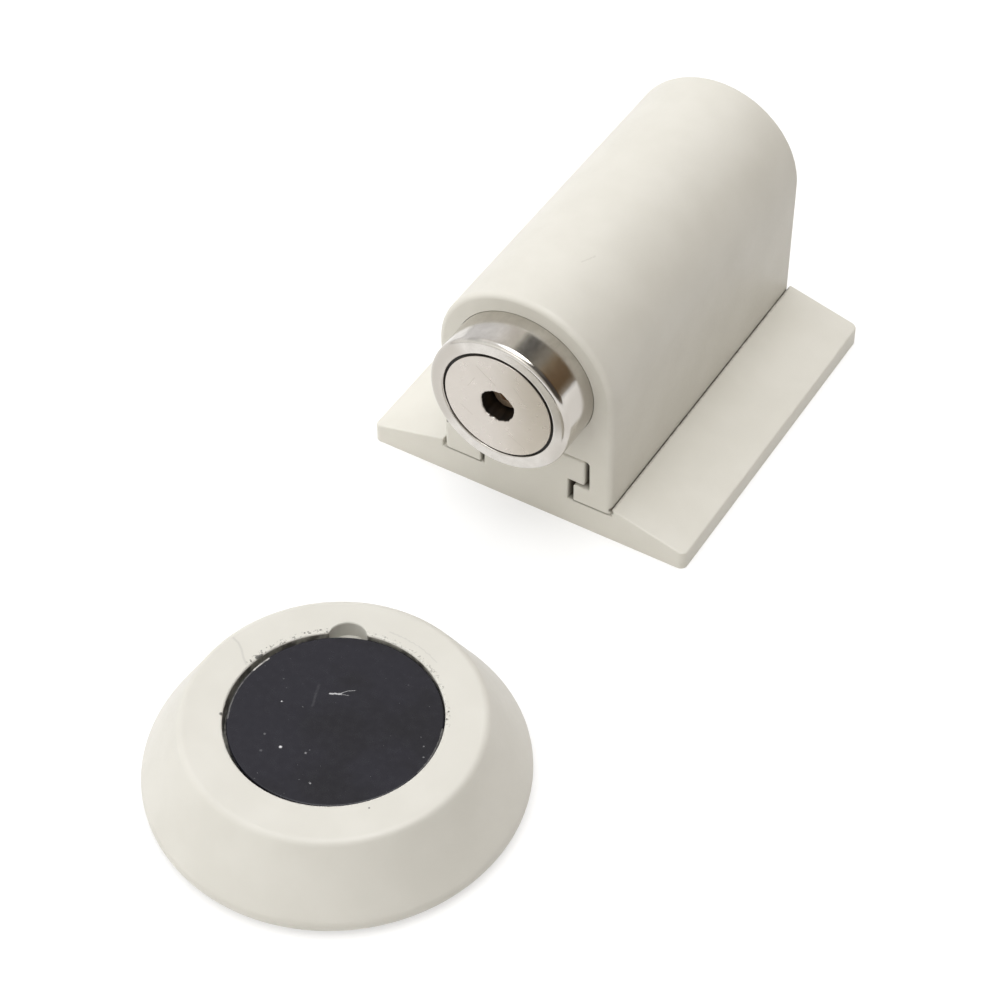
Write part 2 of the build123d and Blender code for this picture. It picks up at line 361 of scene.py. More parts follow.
class Look(Nodes):
    """A material whose nodes work in millimetres."""

    def __init__(self, name, **shader):
        self.material = bpy.data.materials.new(name)
        self.material.use_nodes = True
        super().__init__(self.material.node_tree)
        self.shader = self.tree.nodes["Principled BSDF"]
        for key, value in shader.items():
            self.shader.inputs[key.replace("_", " ")].default_value = value
        scale = self.node("ShaderNodeVectorMath", operation="SCALE")
        scale.inputs["Scale"].default_value = 1000
        self.link(self.node("ShaderNodeTexCoord").outputs["Object"], scale.inputs[0])
        self.place = scale.outputs[0]

    def noise(self, scale, detail=3, rough=0.5, stretch=(1, 1, 1), shift=(0, 0, 0)):
        mapping = self.node("ShaderNodeMapping")
        mapping.inputs["Scale"].default_value = stretch
        mapping.inputs["Location"].default_value = shift
        self.link(self.place, mapping.inputs["Vector"])
        texture = self.node("ShaderNodeTexNoise")
        texture.inputs["Scale"].default_value = scale
        texture.inputs["Detail"].default_value = detail
        texture.inputs["Roughness"].default_value = rough
        self.link(mapping.outputs[0], texture.inputs["Vector"])
        return texture.outputs["Fac"]

    def shaken(self, reach):
        """The place, moved by an uneven amount of up to half the reach each way."""
        shake = self.node("ShaderNodeTexNoise")
        shake.inputs["Scale"].default_value = 1.7
        self.link(self.place, shake.inputs["Vector"])
        centred = self.node("ShaderNodeVectorMath", operation="SUBTRACT")
        self.link(shake.outputs["Color"], centred.inputs[0])
        centred.inputs[1].default_value = (0.5, 0.5, 0.5)
        moved = self.node("ShaderNodeVectorMath", operation="MULTIPLY_ADD")
        self.link(centred.outputs[0], moved.inputs[0])
        moved.inputs[1].default_value = (reach,) * 3
        self.link(self.place, moved.inputs[2])
        return moved.outputs[0]

    def stroke(self, points, width, soft, wobble=0.0):
        """1 within width of a line through the points, falling to 0 past it."""
        place = self.shaken(wobble) if wobble else self.place
        nearest = None
        pairs = list(zip(points, points[1:])) or [(points[0], points[0])]
        for a, b in pairs:
            a, b = Vector(a), Vector(b)
            from_a = self.node("ShaderNodeVectorMath", operation="SUBTRACT")
            self.link(place, from_a.inputs[0])
            from_a.inputs[1].default_value = a
            rest = from_a.outputs[0]
            if (b - a).length > 0:
                along = self.node("ShaderNodeVectorMath", operation="DOT_PRODUCT")
                self.link(rest, along.inputs[0])
                along.inputs[1].default_value = (b - a) / (b - a).length_squared
                held = self.math("MULTIPLY", along.outputs["Value"], 1.0, clamp=True)
                part = self.node("ShaderNodeVectorMath", operation="SCALE")
                part.inputs[0].default_value = b - a
                self.link(held, part.inputs["Scale"])
                gap = self.node("ShaderNodeVectorMath", operation="SUBTRACT")
                self.link(rest, gap.inputs[0])
                self.link(part.outputs[0], gap.inputs[1])
                rest = gap.outputs[0]
            distance = self.node("ShaderNodeVectorMath", operation="LENGTH")
            self.link(rest, distance.inputs[0])
            distance = distance.outputs["Value"]
            nearest = distance if nearest is None else self.math("MINIMUM", nearest, distance)
        return self.span(nearest, width * (1 - soft), width * (1 + soft), 1.0, 0.0)

    def bump(self, height, strength, distance, below=None):
        node = self.node("ShaderNodeBump")
        node.inputs["Strength"].default_value = strength
        node.inputs["Distance"].default_value = distance * MM
        self.link(height, node.inputs["Height"])
        if below is not None:
            self.link(below, node.inputs["Normal"])
        self.link(node.outputs[0], self.shader.inputs["Normal"])
        return node.outputs[0]

    def axes(self):
        """The three coordinates in millimetres."""
        node = self.node("ShaderNodeSeparateXYZ")
        self.link(self.place, node.inputs[0])
        return node.outputs

    def colour(self, socket):
        self.link(socket, self.shader.inputs["Base Color"])

    def roughness(self, socket):
        self.link(socket, self.shader.inputs["Roughness"])


def paint(name, light, dark):
    """Satin paint with a fine texture, and its clean colour, which any dirt goes over."""
    look = Look(name, IOR=1.5, Specular_IOR_Level=0.5)
    cloud = look.noise(0.12, 3)
    fine = look.noise(9, 2, 0.6)
    grain = look.math("ADD", cloud, look.times(fine, 0.3))
    look.roughness(look.span(look.noise(1.3, 4), 0.3, 0.7, 0.36, 0.46))
    look.bump(fine, 0.12, 0.02, look.bump(look.noise(0.9, 2), 0.15, 0.05))
    return look, look.mix(look.span(grain, 0.45, 0.85), light, dark)


def ring_arc(centre, radius, height, start, end, count=6):
    """Points of an arc on a level plane, from one angle in degrees to another."""
    angles = [math.radians(start + (end - start) * k / (count - 1)) for k in range(count)]
    return [(centre[0] + radius * math.cos(a), centre[1] + radius * math.sin(a), height) for a in angles]


def at_height(points, height):
    """Level points (x, y) at one height."""
    return [(x, y, height) for x, y in points]


def on_face(points, depth=0):
    """Points (x, z) on the magnet's front face, or that deep behind it."""
    return [(x, MAGNET_FACE[1] + depth, z) for x, z in points]


# Paint of the unit: painted shade inside the slot, in the groove beside the right wing and under the front
# of the feet, a dot on the front and a scuff on the crown
unit_paint, colour = paint("unit_paint", (0.738, 0.721, 0.660), (0.708, 0.691, 0.628))
look = unit_paint
x, y, z = look.axes()
aside = look.math("ABSOLUTE", look.math("SUBTRACT", x, AXIS_X))
# Painted shade: the faces inside the slot and the rail behind the front are darkened, as the shade in the
# slot.
slot_shade = look.times(
    look.span(y, -32.25, -31.0), look.span(y, 29.5, 29.8, 1.0, 0.0), look.span(aside, 12.3, 12.6, 1.0, 0.0),
    look.span(z, 5.2, 5.35), look.span(z, 16.2, 16.4, 1.0, 0.0),
)
colour = look.mix(slot_shade, colour, (0.20, 0.175, 0.14))
# Painted shade: a dark, patchy line along the groove between the housing and the right wing.
groove_shade = look.stroke([(16.2, -32.3, 6.45), (16.2, 31.6, 6.45)], 0.5, 0.35, 0.15)
groove_shade = look.times(groove_shade, look.span(look.noise(0.9, 4), 0.25, 0.6, 0.55, 0.95))
colour = look.mix(groove_shade, colour, (0.13, 0.105, 0.08))
# Painted shade: dark lines along the seams under the front of both feet.
foot_y = FRONT + 0.1
foot_seam_shade = [
    look.stroke([(a, foot_y, 5.5), (b, foot_y, 5.5)], 0.2, 0.4, 0.05)
    for a, b in ((-15.8, -8.7), (9.1, 16.2))
]
colour = look.mix(look.times(look.most(*foot_seam_shade), 0.75), colour, (0.16, 0.135, 0.105))
dot = look.stroke([(-15.0, -32.95, 11.8)], 0.34, 0.3)
colour = look.mix(look.times(dot, 0.8), colour, (0.10, 0.09, 0.08))
scuff = look.stroke([
    (3.19, -20.78, 45.58), (3.41, -20.2, 45.53), (3.72, -19.64, 45.46), (4.0, -18.87, 45.39),
    (4.21, -18.27, 45.34),
], 0.14, 0.6, 0.3)
colour = look.mix(look.times(scuff, 0.22), colour, (0.42, 0.40, 0.35))
look.colour(colour)

# Paint of the keeper: painted shade on the recess's wall, dirt round its rim, two fine scratches and a few
# dots
keeper_paint, colour = paint("keeper_paint", (0.702, 0.688, 0.635), (0.674, 0.660, 0.606))
look = keeper_paint
x, y, z = look.axes()
# Painted shade: the recess's wall is darkened in patches, as the shade in the gap round the disc.
recess_shade = look.stroke([(*KEEPER[:2], -50), (*KEEPER[:2], 50)], RECESS_RADIUS + 0.12, 0.002)
patches = look.span(look.noise(1.1, 4), 0.3, 0.6, 0.55, 0.90)
recess_shade = look.times(recess_shade, look.span(z, 10.0, 10.2), look.span(z, 13.65, 13.82, 1.0, 0.0), patches)
recess_shade_colour = look.mix(look.span(look.noise(0.35, 3), 0.42, 0.58), (0.09, 0.086, 0.078), (0.34, 0.33, 0.29))
colour = look.mix(recess_shade, colour, recess_shade_colour)
grit = look.span(look.noise(2.6, 3, 0.6), 0.56, 0.62)
bands = look.most(
    look.stroke(ring_arc(KEEPER, 17.0, KEEPER_TOP, 118, 172), 0.45, 0.4),
    look.times(look.stroke(ring_arc(KEEPER, 16.95, KEEPER_TOP, 25, 110), 0.4, 0.5), 0.6),
)
colour = look.mix(look.times(grit, bands, 0.75), colour, (0.09, 0.085, 0.075))
spots = look.stroke([(-11.36, -92.9, 13.95), (-11.0, -92.1, 13.95)], 0.26, 0.4, 0.2)
for *spot, size in (
    (-9.62, -104.6, 13.95, 0.28), (-9.0, -89.7, 14, 0.16), (-8.2, -87.9, 14, 0.13), (-7.9, -85.1, 14, 0.14),
    (-6.2, -83.4, 14, 0.12), (19.1, -87.0, 14, 0.14), (19.6, -88.4, 14, 0.16), (18.73, -107.98, 14, 0.13),
):
    spots = look.most(spots, look.stroke([spot], size, 0.5))
colour = look.mix(look.times(spots, 0.85), colour, (0.035, 0.033, 0.03))
hair = ((-16.64, -91.48), (-15.4, -91.9), (-14.27, -92.71), (-13.1, -93.9), (-11.91, -94.82))
scratches = look.most(
    look.stroke(at_height(hair, KEEPER_TOP), 0.16, 0.8),
    look.stroke(ring_arc(KEEPER, 18.3, KEEPER_TOP, 96, 66), 0.10, 0.8, 0.5),
)
colour = look.mix(look.times(scratches, 0.22), colour, (0.30, 0.30, 0.30))
look.colour(colour)

# Bright plating of the cup: fine lines round its axis, and a painted darker reflection on the rim's left and
# on the right side
chrome = look = Look("pot_plating", Metallic=1.0, Anisotropic=0.7, Anisotropic_Rotation=0.25)
tangent = look.node("ShaderNodeTangent", direction_type="RADIAL", axis="Y")
look.link(tangent.outputs[0], look.shader.inputs["Tangent"])
streak = look.noise(5, 4, 0.6, stretch=(1, 0.12, 1))
cloud = look.math("ADD", look.noise(0.5, 3), look.times(streak, 0.6))
colour = look.mix(look.span(cloud, 0.5, 1.05), (0.69, 0.665, 0.63), (0.60, 0.575, 0.54))
# Painted reflection: the rim's left and the cup's right side are darkened, as reflected shade.
rim_middle = 11.6
rim = [math.radians(a) for a in (135, 150, 165, 180, 195, 210)]
rim = [(AXIS_X + rim_middle * math.cos(a), AXIS_HEIGHT + rim_middle * math.sin(a)) for a in rim]
painted_dark_reflection = look.stroke(on_face(rim), 1.7, 0.9)
for height, width in ((24, 5.5), (32, 4.4)):
    painted_dark_reflection = look.most(painted_dark_reflection, look.stroke([(14.0, -38.6, height), (14.0, -31, height)], width, 0.35))
look.colour(look.mix(painted_dark_reflection, colour, (0.525, 0.495, 0.455)))
look.roughness(look.span(streak, 0.3, 0.7, 0.10, 0.17))
look.bump(look.noise(2.2, 2, stretch=(0.3, 1, 0.3)), 0.05, 0.02)

# Satin plating of the magnet: a painted darker reflection at the right, scratched, chipped at the hole,
# painted shade down the bore
satin = look = Look("magnet_plating", Metallic=1.0)
colour = look.mix(look.noise(0.35, 2), (0.655, 0.615, 0.57), (0.605, 0.565, 0.52))
# Painted reflection: the right of the magnet's face is darkened, as reflected shade.
painted_dark_reflection = look.stroke(on_face([(7.2, 22.0), (8.4, 30.0), (7.4, 36.0)]), 4.6, 0.95)
colour = look.mix(look.times(painted_dark_reflection, 0.8), colour, (0.50, 0.455, 0.385))
lines = look.stroke(on_face([(-3.6, 36.8), (-0.1, 34.2)]), 0.05, 0.8, 0.1)
for line in (
    ((-5.2, 31.8), (-3.9, 34.1)),
    ((2.4, 24.6), (5.1, 23.1)),
    ((-6.6, 27.3), (-4.4, 25.9)),
    ((3.2, 35.3), (4.9, 33.2)),
):
    lines = look.most(lines, look.stroke(on_face(line), 0.035, 0.8, 0.15))
colour = look.mix(look.times(lines, 0.55), colour, (0.42, 0.38, 0.33))
chips = look.stroke(on_face([(-1.75, 27.75), (-0.95, 27.15), (0.35, 26.95)], 0.05), 0.2, 0.5, 0.5)
chips = look.times(chips, look.span(look.noise(1.6, 2, shift=(3, 0, 0)), 0.42, 0.5))
colour = look.mix(chips, colour, (0.95, 0.93, 0.90))
# Painted shade: the wall down the magnet's hole is near black, as the shade in it.
bore_shade = look.stroke([(AXIS_X, -41.42, AXIS_HEIGHT), (AXIS_X, -30.0, AXIS_HEIGHT)], 3.3, 0.04)
bore_shade = look.times(bore_shade, look.span(look.axes()[1], -41.48, -41.2))
colour = look.mix(look.times(bore_shade, 0.93), colour, (0.035, 0.028, 0.023))
look.colour(colour)
rough = look.span(look.noise(0.6, 2), 0.3, 0.7, 0.27, 0.32)
look.roughness(look.math("ADD", rough, look.times(look.most(lines, bore_shade), 0.2)))
look.bump(look.noise(0.5, 2), 0.05, 0.03)

# The filler is near black; its colour also paints the shade of the gap round the magnet.
bond = Look("bond_and_gap_shade", Roughness=0.5)
bond.colour(bond.mix(bond.noise(3), (0.004, 0.004, 0.004), (0.010, 0.009, 0.008)))
bond.bump(bond.noise(5), 0.4, 0.05)

# Steel of both screws: rusty brown at the bottom of the magnet's hole, black in the housing
steel = Look("dark_steel", Metallic=1.0)
grain = steel.noise(2.5, 4, stretch=(3, 1, 1))
rusty = steel.mix(grain, (0.34, 0.25, 0.17), (0.80, 0.63, 0.46))
black = steel.mix(grain, (0.10, 0.09, 0.085), (0.26, 0.24, 0.22))
steel.colour(steel.mix(steel.span(steel.axes()[1], -30.5, -29.0), rusty, black))
steel.roughness(steel.span(steel.noise(3), 0.3, 0.7, 0.4, 0.55))
steel.bump(steel.noise(4, stretch=(3, 1, 1)), 0.3, 0.05)

# Black lacquer of the disc: lighter to the left and in patches, dust, specks, a forked scratch, a smear, and
# a light edge that is partly wear and partly a painted highlight
lacquer = look = Look("black_lacquer", IOR=1.45)
# The black is lighter towards the left and in random patches.
tone_to_left = look.span(look.axes()[0], -9.0, 6.0, 0.9, 0.0)
tone_to_left = look.math("ADD", look.span(look.noise(0.11, 3), 0.35, 0.65), tone_to_left)
colour = look.mix(tone_to_left, (0.0065, 0.0065, 0.0115), (0.0105, 0.0105, 0.0185))
marks = look.times(look.span(look.noise(1.9, 2, 0.4, shift=(7, 2, 0)), 0.75, 0.78), 0.10)
for *speck, size, strength in (
    (1.27, -104.98, 0.20, 1.0), (-3.48, -97.74, 0.12, 0.8), (5.06, -104.05, 0.16, 0.32),
    (8.76, -108.36, 0.13, 0.45), (-2.15, -104.13, 0.17, 0.14), (-0.81, -106.99, 0.20, 0.10),
    (19.25, -94.18, 0.13, 0.22), (20.3, -95.9, 0.15, 0.22), (-5.71, -93.94, 0.14, 0.08),
    (5.3, -103.3, 0.09, 0.2), (-4.4, -95.2, 0.10, 0.07),
):
    marks = look.most(marks, look.times(look.stroke([(*speck, DISC_TOP)], size, 0.5, 0.2), strength))
for line, width, strength in (
    (((1.87, -92.87), (2.6, -92.4), (3.3, -92.02)), 0.14, 0.75),
    (((3.1, -92.1), (3.95, -90.97), (4.8, -90.39)), 0.06, 0.45),
    (((3.0, -92.3), (4.43, -91.71)), 0.06, 0.35),
    (((-0.46, -92.29), (0.03, -93.82)), 0.20, 0.02),
    (((0.03, -93.82), (0.6, -95.2), (0.96, -96.17)), 0.16, 0.03),
):
    marks = look.most(marks, look.times(look.stroke(at_height(line, DISC_TOP), width, 0.7, 0.35), strength))
colour = look.mix(marks, colour, (0.72, 0.72, 0.74))
# Partly wear and partly a painted highlight: a light line along the disc's edge, strongest on the left.
edge_wear_and_highlight = look.stroke(ring_arc(DISC_CENTRE, 15.98, DISC_TOP, 163, 174, 4), 0.20, 0.5, 0.15)
for radius, start, end, count, width, strength in (
    (16.0, 174, 210, 6, 0.15, 0.22),
    (16.05, -8, 24, 5, 0.14, 0.25),
):
    edge = look.stroke(ring_arc(DISC_CENTRE, radius, DISC_TOP, start, end, count), width, 0.6, 0.12)
    edge_wear_and_highlight = look.most(edge_wear_and_highlight, look.times(edge, strength))
edge_wear_and_highlight = look.times(edge_wear_and_highlight, look.span(look.noise(1.2, 3), 0.35, 0.55, 0.5, 1.0))
look.colour(look.mix(edge_wear_and_highlight, colour, (0.62, 0.61, 0.58)))
rough = look.span(look.noise(0.8, 5), 0.3, 0.7, 0.18, 0.28)
look.roughness(look.math("ADD", rough, look.times(marks, 0.3)))
look.bump(look.noise(12, 2), 0.02, 0.01)

foam = Look("foam_pad", Roughness=0.85)
foam.colour(foam.mix(foam.noise(4, 4), (0.78, 0.77, 0.74), (0.66, 0.65, 0.62)))
foam.bump(foam.noise(6, 3), 0.5, 0.08)


# Housing

def lean(bm):
    """Tilt the front face forward from the foot up, as a cast face with draft stands."""
    for vert in bm.verts:
        if vert.co.y < FRONT + 4:
            vert.co.y -= (vert.co.z - LAND) * LEAN


turns = [math.pi * k / 96 for k in range(97)]
crown = [(HOUSING_SIDE * math.cos(a), AXIS_HEIGHT + HOUSING_SIDE * math.sin(a), 0) for a in turns]
shell = rounded([(-HOUSING_SIDE, LAND + 0.2, 0), (HOUSING_SIDE, LAND + 0.2, 0), *crown])
foot_rounding, front_rounding, rear_rounding = 0.1, 1.05, 0.8
bm = bmesh.new()
bar(
    bm, shell, [foot_rounding] + [front_rounding] * (len(shell) - 1), FRONT, FRONT + HOUSING_LENGTH,
    [foot_rounding] + [rear_rounding] * (len(shell) - 1), origin_x=AXIS_X, steps=10,
)
lean(bm)
housing = solid("housing_body", bm)

bm = bmesh.new()
slot_outline = rounded([
    (-SLOT_NECK, LAND - 3, 0),
    (SLOT_NECK, LAND - 3, 0),
    (SLOT_NECK, SLOT_STEP, 0.6),
    (SLOT_HEAD, SLOT_STEP, 0.45),
    (SLOT_HEAD, SLOT_TOP, 0.65),
    (-SLOT_HEAD, SLOT_TOP, 0.65),
    (-SLOT_HEAD, SLOT_STEP, 0.45),
    (-SLOT_NECK, SLOT_STEP, 0.6),
])
bar(bm, slot_outline, [0.28] * len(slot_outline), FRONT, FRONT + SLOT_LENGTH, flare=True, origin_x=AXIS_X)
lean(bm)
slot_cutter = solid("cutter", bm)
seat = [(0, -3), (SEAT_RADIUS, -3), (SEAT_RADIUS, SEAT_DEPTH), (0, SEAT_DEPTH)]
seat_cutter = round_cutter(seat, (AXIS_X, FRONT, AXIS_HEIGHT), "y", 192)

# Hole of the set screw, made upright and laid on its side through the left wall
set_screw = [(0, 11.0), (2.05, 11.0), (2.05, 17.0), (0, 17.0)]
set_screw_cutter = round_cutter(set_screw, (0, 0, 0), "z", 48)
sideways = Matrix.Rotation(-math.pi / 2, 4, "Y")
set_screw_cutter.data.transform(Matrix.Translation(Vector((0, 13.4, 12.6)) * MM) @ sideways)
dressed(carved(housing, slot_cutter, seat_cutter, set_screw_cutter), unit_paint.material, "housing")

# Base plate: wings with rounded corners, and a rail whose upper edges are rounded more than the rest
right_wing, left_wing = WING_EDGES
section = [(x, z, 0) for x, z in (
    (-PLATE_SIDE, 0), (PLATE_SIDE, 0), (PLATE_SIDE, PLATE_EDGE), right_wing, (right_wing[0], LAND),
    (RAIL_NECK, LAND), (RAIL_NECK, RAIL_STEP), (RAIL_HEAD, RAIL_STEP), (RAIL_HEAD, RAIL_TOP),
    (-RAIL_HEAD, RAIL_TOP), (-RAIL_HEAD, RAIL_STEP), (-RAIL_NECK, RAIL_STEP), (-RAIL_NECK, LAND),
    (left_wing[0], LAND), left_wing, (-PLATE_SIDE, PLATE_EDGE),
)]
bm = bmesh.new()
bar(bm, rounded(section), [0] * len(section), FRONT, FRONT + PLATE_LENGTH, steps=1)
bmesh.ops.remove_doubles(bm, verts=bm.verts, dist=1e-5)
bmesh.ops.recalc_face_normals(bm, faces=bm.faces)
corners = [
    e for e in bm.edges
    if all(abs(v.co.x) > PLATE_SIDE - 0.1 for v in e.verts) and abs(e.verts[0].co.z - e.verts[1].co.z) > 3
]
bmesh.ops.bevel(bm, geom=corners, offset=PLATE_CORNER, segments=10, profile=0.5, affect="EDGES")
bm.normal_update()
weight = bm.edges.layers.float.new("bevel_weight_edge")
for edge in bm.edges:
    heights = [v.co.z for v in edge.verts]
    if edge.is_manifold and edge.is_convex and edge.calc_face_angle() > 0.8 and max(heights) > 0.1:
        if min(heights) > 9:
            edge[weight] = 1.0
        elif all(abs(v.co.x) < 16.5 and v.co.z > 6.5 for v in edge.verts):
            edge[weight] = 0.4
        else:
            edge[weight] = 0.7
plate = solid("plate_body", bm)
rounding = plate.modifiers.new("rounding", "BEVEL")
rounding.limit_method = "WEIGHT"
rounding.width = PLATE_ROUNDING * MM
rounding.segments = 5
rounding.use_clamp_overlap = False
applied(plate)
rail_cutter = box_cutter((-12.5, RAIL_END, LAND + 0.01), (12.5, 40, 20))
floor_screw = [
    (0, -1), (SHANK_RADIUS, -1), (SHANK_RADIUS, 13.0), (FLOOR_HEAD_RADIUS, RAIL_TOP),
    (FLOOR_HEAD_RADIUS, 17), (0, 17),
]
screw_cutters = [round_cutter(floor_screw, (0, y, 0), "z", 64) for y in FLOOR_SCREWS]
dressed(carved(plate, rail_cutter, *screw_cutters), unit_paint.material, "base_plate")


# Magnet pieces

def magnet_part(name, corners, count, material, node, warp=None, per_quarter=8):
    """A piece turned round the magnet's axis."""
    bm = bmesh.new()
    turned(bm, braced(rounded(corners, per_quarter)), MAGNET_FACE, "y", count, warp)
    dressed(solid(name, bm), material, node)


def hole_warp(radius, height, angle):
    """A ragged edge with chips round the magnet's hole, which fades out down the bore."""
    near = min(1, max(0, HOLE_RADIUS + 1.2 - radius)) * max(0, 1 - height / 1.5)
    ragged = 0.05 * math.sin(5 * angle + 1) + 0.035 * math.sin(11 * angle) + 0.025 * math.sin(23 * angle + 2)
    chips = sum(
        depth * max(0, 1 - abs(math.degrees(angle) - centre) / half)
        for centre, half, depth in CHIPS
    )
    return radius + near * (ragged + chips), height


magnet_part(
    "pot_shell",
    [
        (POT_BORE, MAGNET_DEPTH, 0),
        (POT_BORE, 0, 0.3),
        (POT_RADIUS, 0, 1.0),
        (POT_RADIUS, POT_DEPTH, 0.2),
        (POT_SCREW_HOLE, POT_DEPTH, 0),
        (POT_SCREW_HOLE, MAGNET_DEPTH, 0),
    ],
    240, chrome.material, "magnet_pot", per_quarter=12,
)
magnet_part(
    "magnet_body",
    [
        (HOLE_RADIUS, 0, 0.2),
        (MAGNET_RADIUS, 0, 0.12),
        (MAGNET_RADIUS, MAGNET_DEPTH, 0),
        (HOLE_RADIUS, MAGNET_DEPTH, 0),
    ],
    240, satin.material, "ring_magnet", hole_warp,
)
magnet_part(
    "bond_fill",
    [
        (MAGNET_RADIUS, BOND_RECESS, 0),
        (POT_BORE, BOND_RECESS, 0),
        (POT_BORE, MAGNET_DEPTH, 0),
        (MAGNET_RADIUS, MAGNET_DEPTH, 0),
    ],
    160, bond.material, "bond_ring",
)

# Keeper: the radius where the rounding of its foot meets the floor, and the radius of its core
keeper_slope = math.atan2(KEEPER_TOP, FOOT_RADIUS - TOP_RADIUS)
foot_contact = FOOT_RADIUS - FOOT_ROUNDING / math.tan(keeper_slope / 2)
core_radius = foot_contact - WALL


def recess_edge(angle):
    """Radius of the recess at an angle, with the prying notch."""
    off = (angle - NOTCH_ANGLE + math.pi) % (2 * math.pi) - math.pi
    centre = RECESS_RADIUS + NOTCH_REACH - NOTCH_RADIUS
    across = centre * math.sin(off)
    if abs(across) < NOTCH_RADIUS and abs(off) < 0.5:
        return max(RECESS_RADIUS, centre * math.cos(off) + math.sqrt(NOTCH_RADIUS ** 2 - across ** 2))
    return RECESS_RADIUS


def keeper_warp(radius, height, angle):
    """Move the recess's edge out to the notch."""
    grow = recess_edge(angle) - RECESS_RADIUS
    if RECESS_RADIUS - 0.1 < radius < RECESS_RADIUS + 0.8 and height > 10.4:
        return radius + grow, height
    return radius, height


keeper_outline = braced(rounded([
    (SHANK_RADIUS, 3.0, 0),
    (SHANK_RADIUS, 0.0, 0),
    (BOSS_RADIUS, 0.0, 0),
    (BOSS_RADIUS, CORE_TOP, 0.8),
    (core_radius, CORE_TOP, 0.8),
    (core_radius, 0.0, 0),
    (FOOT_RADIUS, 0.0, FOOT_ROUNDING),
    (TOP_RADIUS, KEEPER_TOP, 1.5),
    (RECESS_RADIUS, KEEPER_TOP, 0.3),
    (RECESS_RADIUS, RECESS_FLOOR, 0),
    (DOOR_HEAD_RADIUS, RECESS_FLOOR, 0),
    (SHANK_RADIUS, RECESS_FLOOR - 2, 0),
], 10))
bm = bmesh.new()
turned(bm, keeper_outline, KEEPER, "z", 360, keeper_warp)
for k in range(4):
    rib = Matrix.Translation(Vector(KEEPER)) @ Matrix.Rotation(math.pi / 2 * k, 4, "Z")
    made = bmesh.ops.create_cube(bm, size=1)["verts"]
    rib_length = core_radius - BOSS_RADIUS + RIB_OVERLAP
    bmesh.ops.scale(bm, vec=(rib_length, RIB_THICKNESS, RIB_HEIGHT), verts=made)
    bmesh.ops.translate(bm, vec=((core_radius + BOSS_RADIUS) / 2, 0, RIB_MIDDLE), verts=made)
    bmesh.ops.transform(bm, matrix=rib, verts=made)
dressed(solid("keeper_body", bm), keeper_paint.material, "keeper_ring")

disc_outline = [(0, 0, 0), (DISC_RADIUS, 0, 0.2), (DISC_RADIUS, DISC_THICKNESS, 0.3), (0, DISC_THICKNESS, 0)]
bm = bmesh.new()
turned(bm, braced(rounded(disc_outline)), DISC_CENTRE, "z", 240)
dressed(solid("disc_body", bm), lacquer.material, "strike_disc")

# Pieces that keep their own shape
for node, look in (("housing_set_screw", steel), ("magnet_screw", steel), ("strike_pad", foam)):
    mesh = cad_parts[node].data
    mesh.materials.clear()
    mesh.materials.append(look.material)


# Floor and backdrop

def ground(name, x_low, x_high, lit):
    """A sheet that is white to the camera, and in metal too, with the shadow kept.

    It lights the object in the colour lit. Its own glow fades with the distance in metres.
    """
    sheet = bmesh.new()
    corners = ((x_low, -3), (x_high, -3), (x_high, 3), (x_low, 3))
    sheet.faces.new([sheet.verts.new((*corner, 0)) for corner in corners])
    mesh = bpy.data.meshes.new(name)
    sheet.to_mesh(mesh)
    sheet.free()
    piece = added(name, mesh)
    material = bpy.data.materials.new(name + "_white")
    material.use_nodes = True
    nodes = Nodes(material.node_tree)
    nodes.tree.nodes.clear()
    plain = nodes.node("ShaderNodeBsdfDiffuse")
    plain.inputs["Color"].default_value = (*lit, 1)
    half = nodes.node("ShaderNodeBsdfDiffuse")
    half.inputs["Color"].default_value = (0.5, 0.5, 0.5, 1)
    glow = nodes.node("ShaderNodeEmission")
    away = nodes.node("ShaderNodeVectorMath", operation="LENGTH")
    nodes.link(nodes.node("ShaderNodeTexCoord").outputs["Object"], away.inputs[0])
    fade = nodes.span(away.outputs["Value"], 0.3, 1.1, 0.56, 0.12, smooth=False)
    nodes.link(fade, glow.inputs["Strength"])
    white = nodes.node("ShaderNodeAddShader")
    nodes.link(half.outputs[0], white.inputs[0])
    nodes.link(glow.outputs[0], white.inputs[1])
    path = nodes.node("ShaderNodeLightPath")
    seen = [path.outputs[ray] for ray in ("Is Camera Ray", "Is Glossy Ray", "Is Transmission Ray")]
    choose = nodes.node("ShaderNodeMixShader")
    nodes.link(nodes.most(*seen), choose.inputs[0])
    nodes.link(plain.outputs[0], choose.inputs[1])
    nodes.link(white.outputs[0], choose.inputs[2])
    nodes.link(choose.outputs[0], nodes.node("ShaderNodeOutputMaterial").inputs["Surface"])
    mesh.materials.append(material)


# The backdrop carries on to the right of the floor. It gives the object little light, as a room past a
# table's edge does.
FLOOR_END = 0.165
ground("floor", -3, FLOOR_END, (0.80, 0.785, 0.76))
ground("backdrop", FLOOR_END, 3, (0.08, 0.053, 0.036))

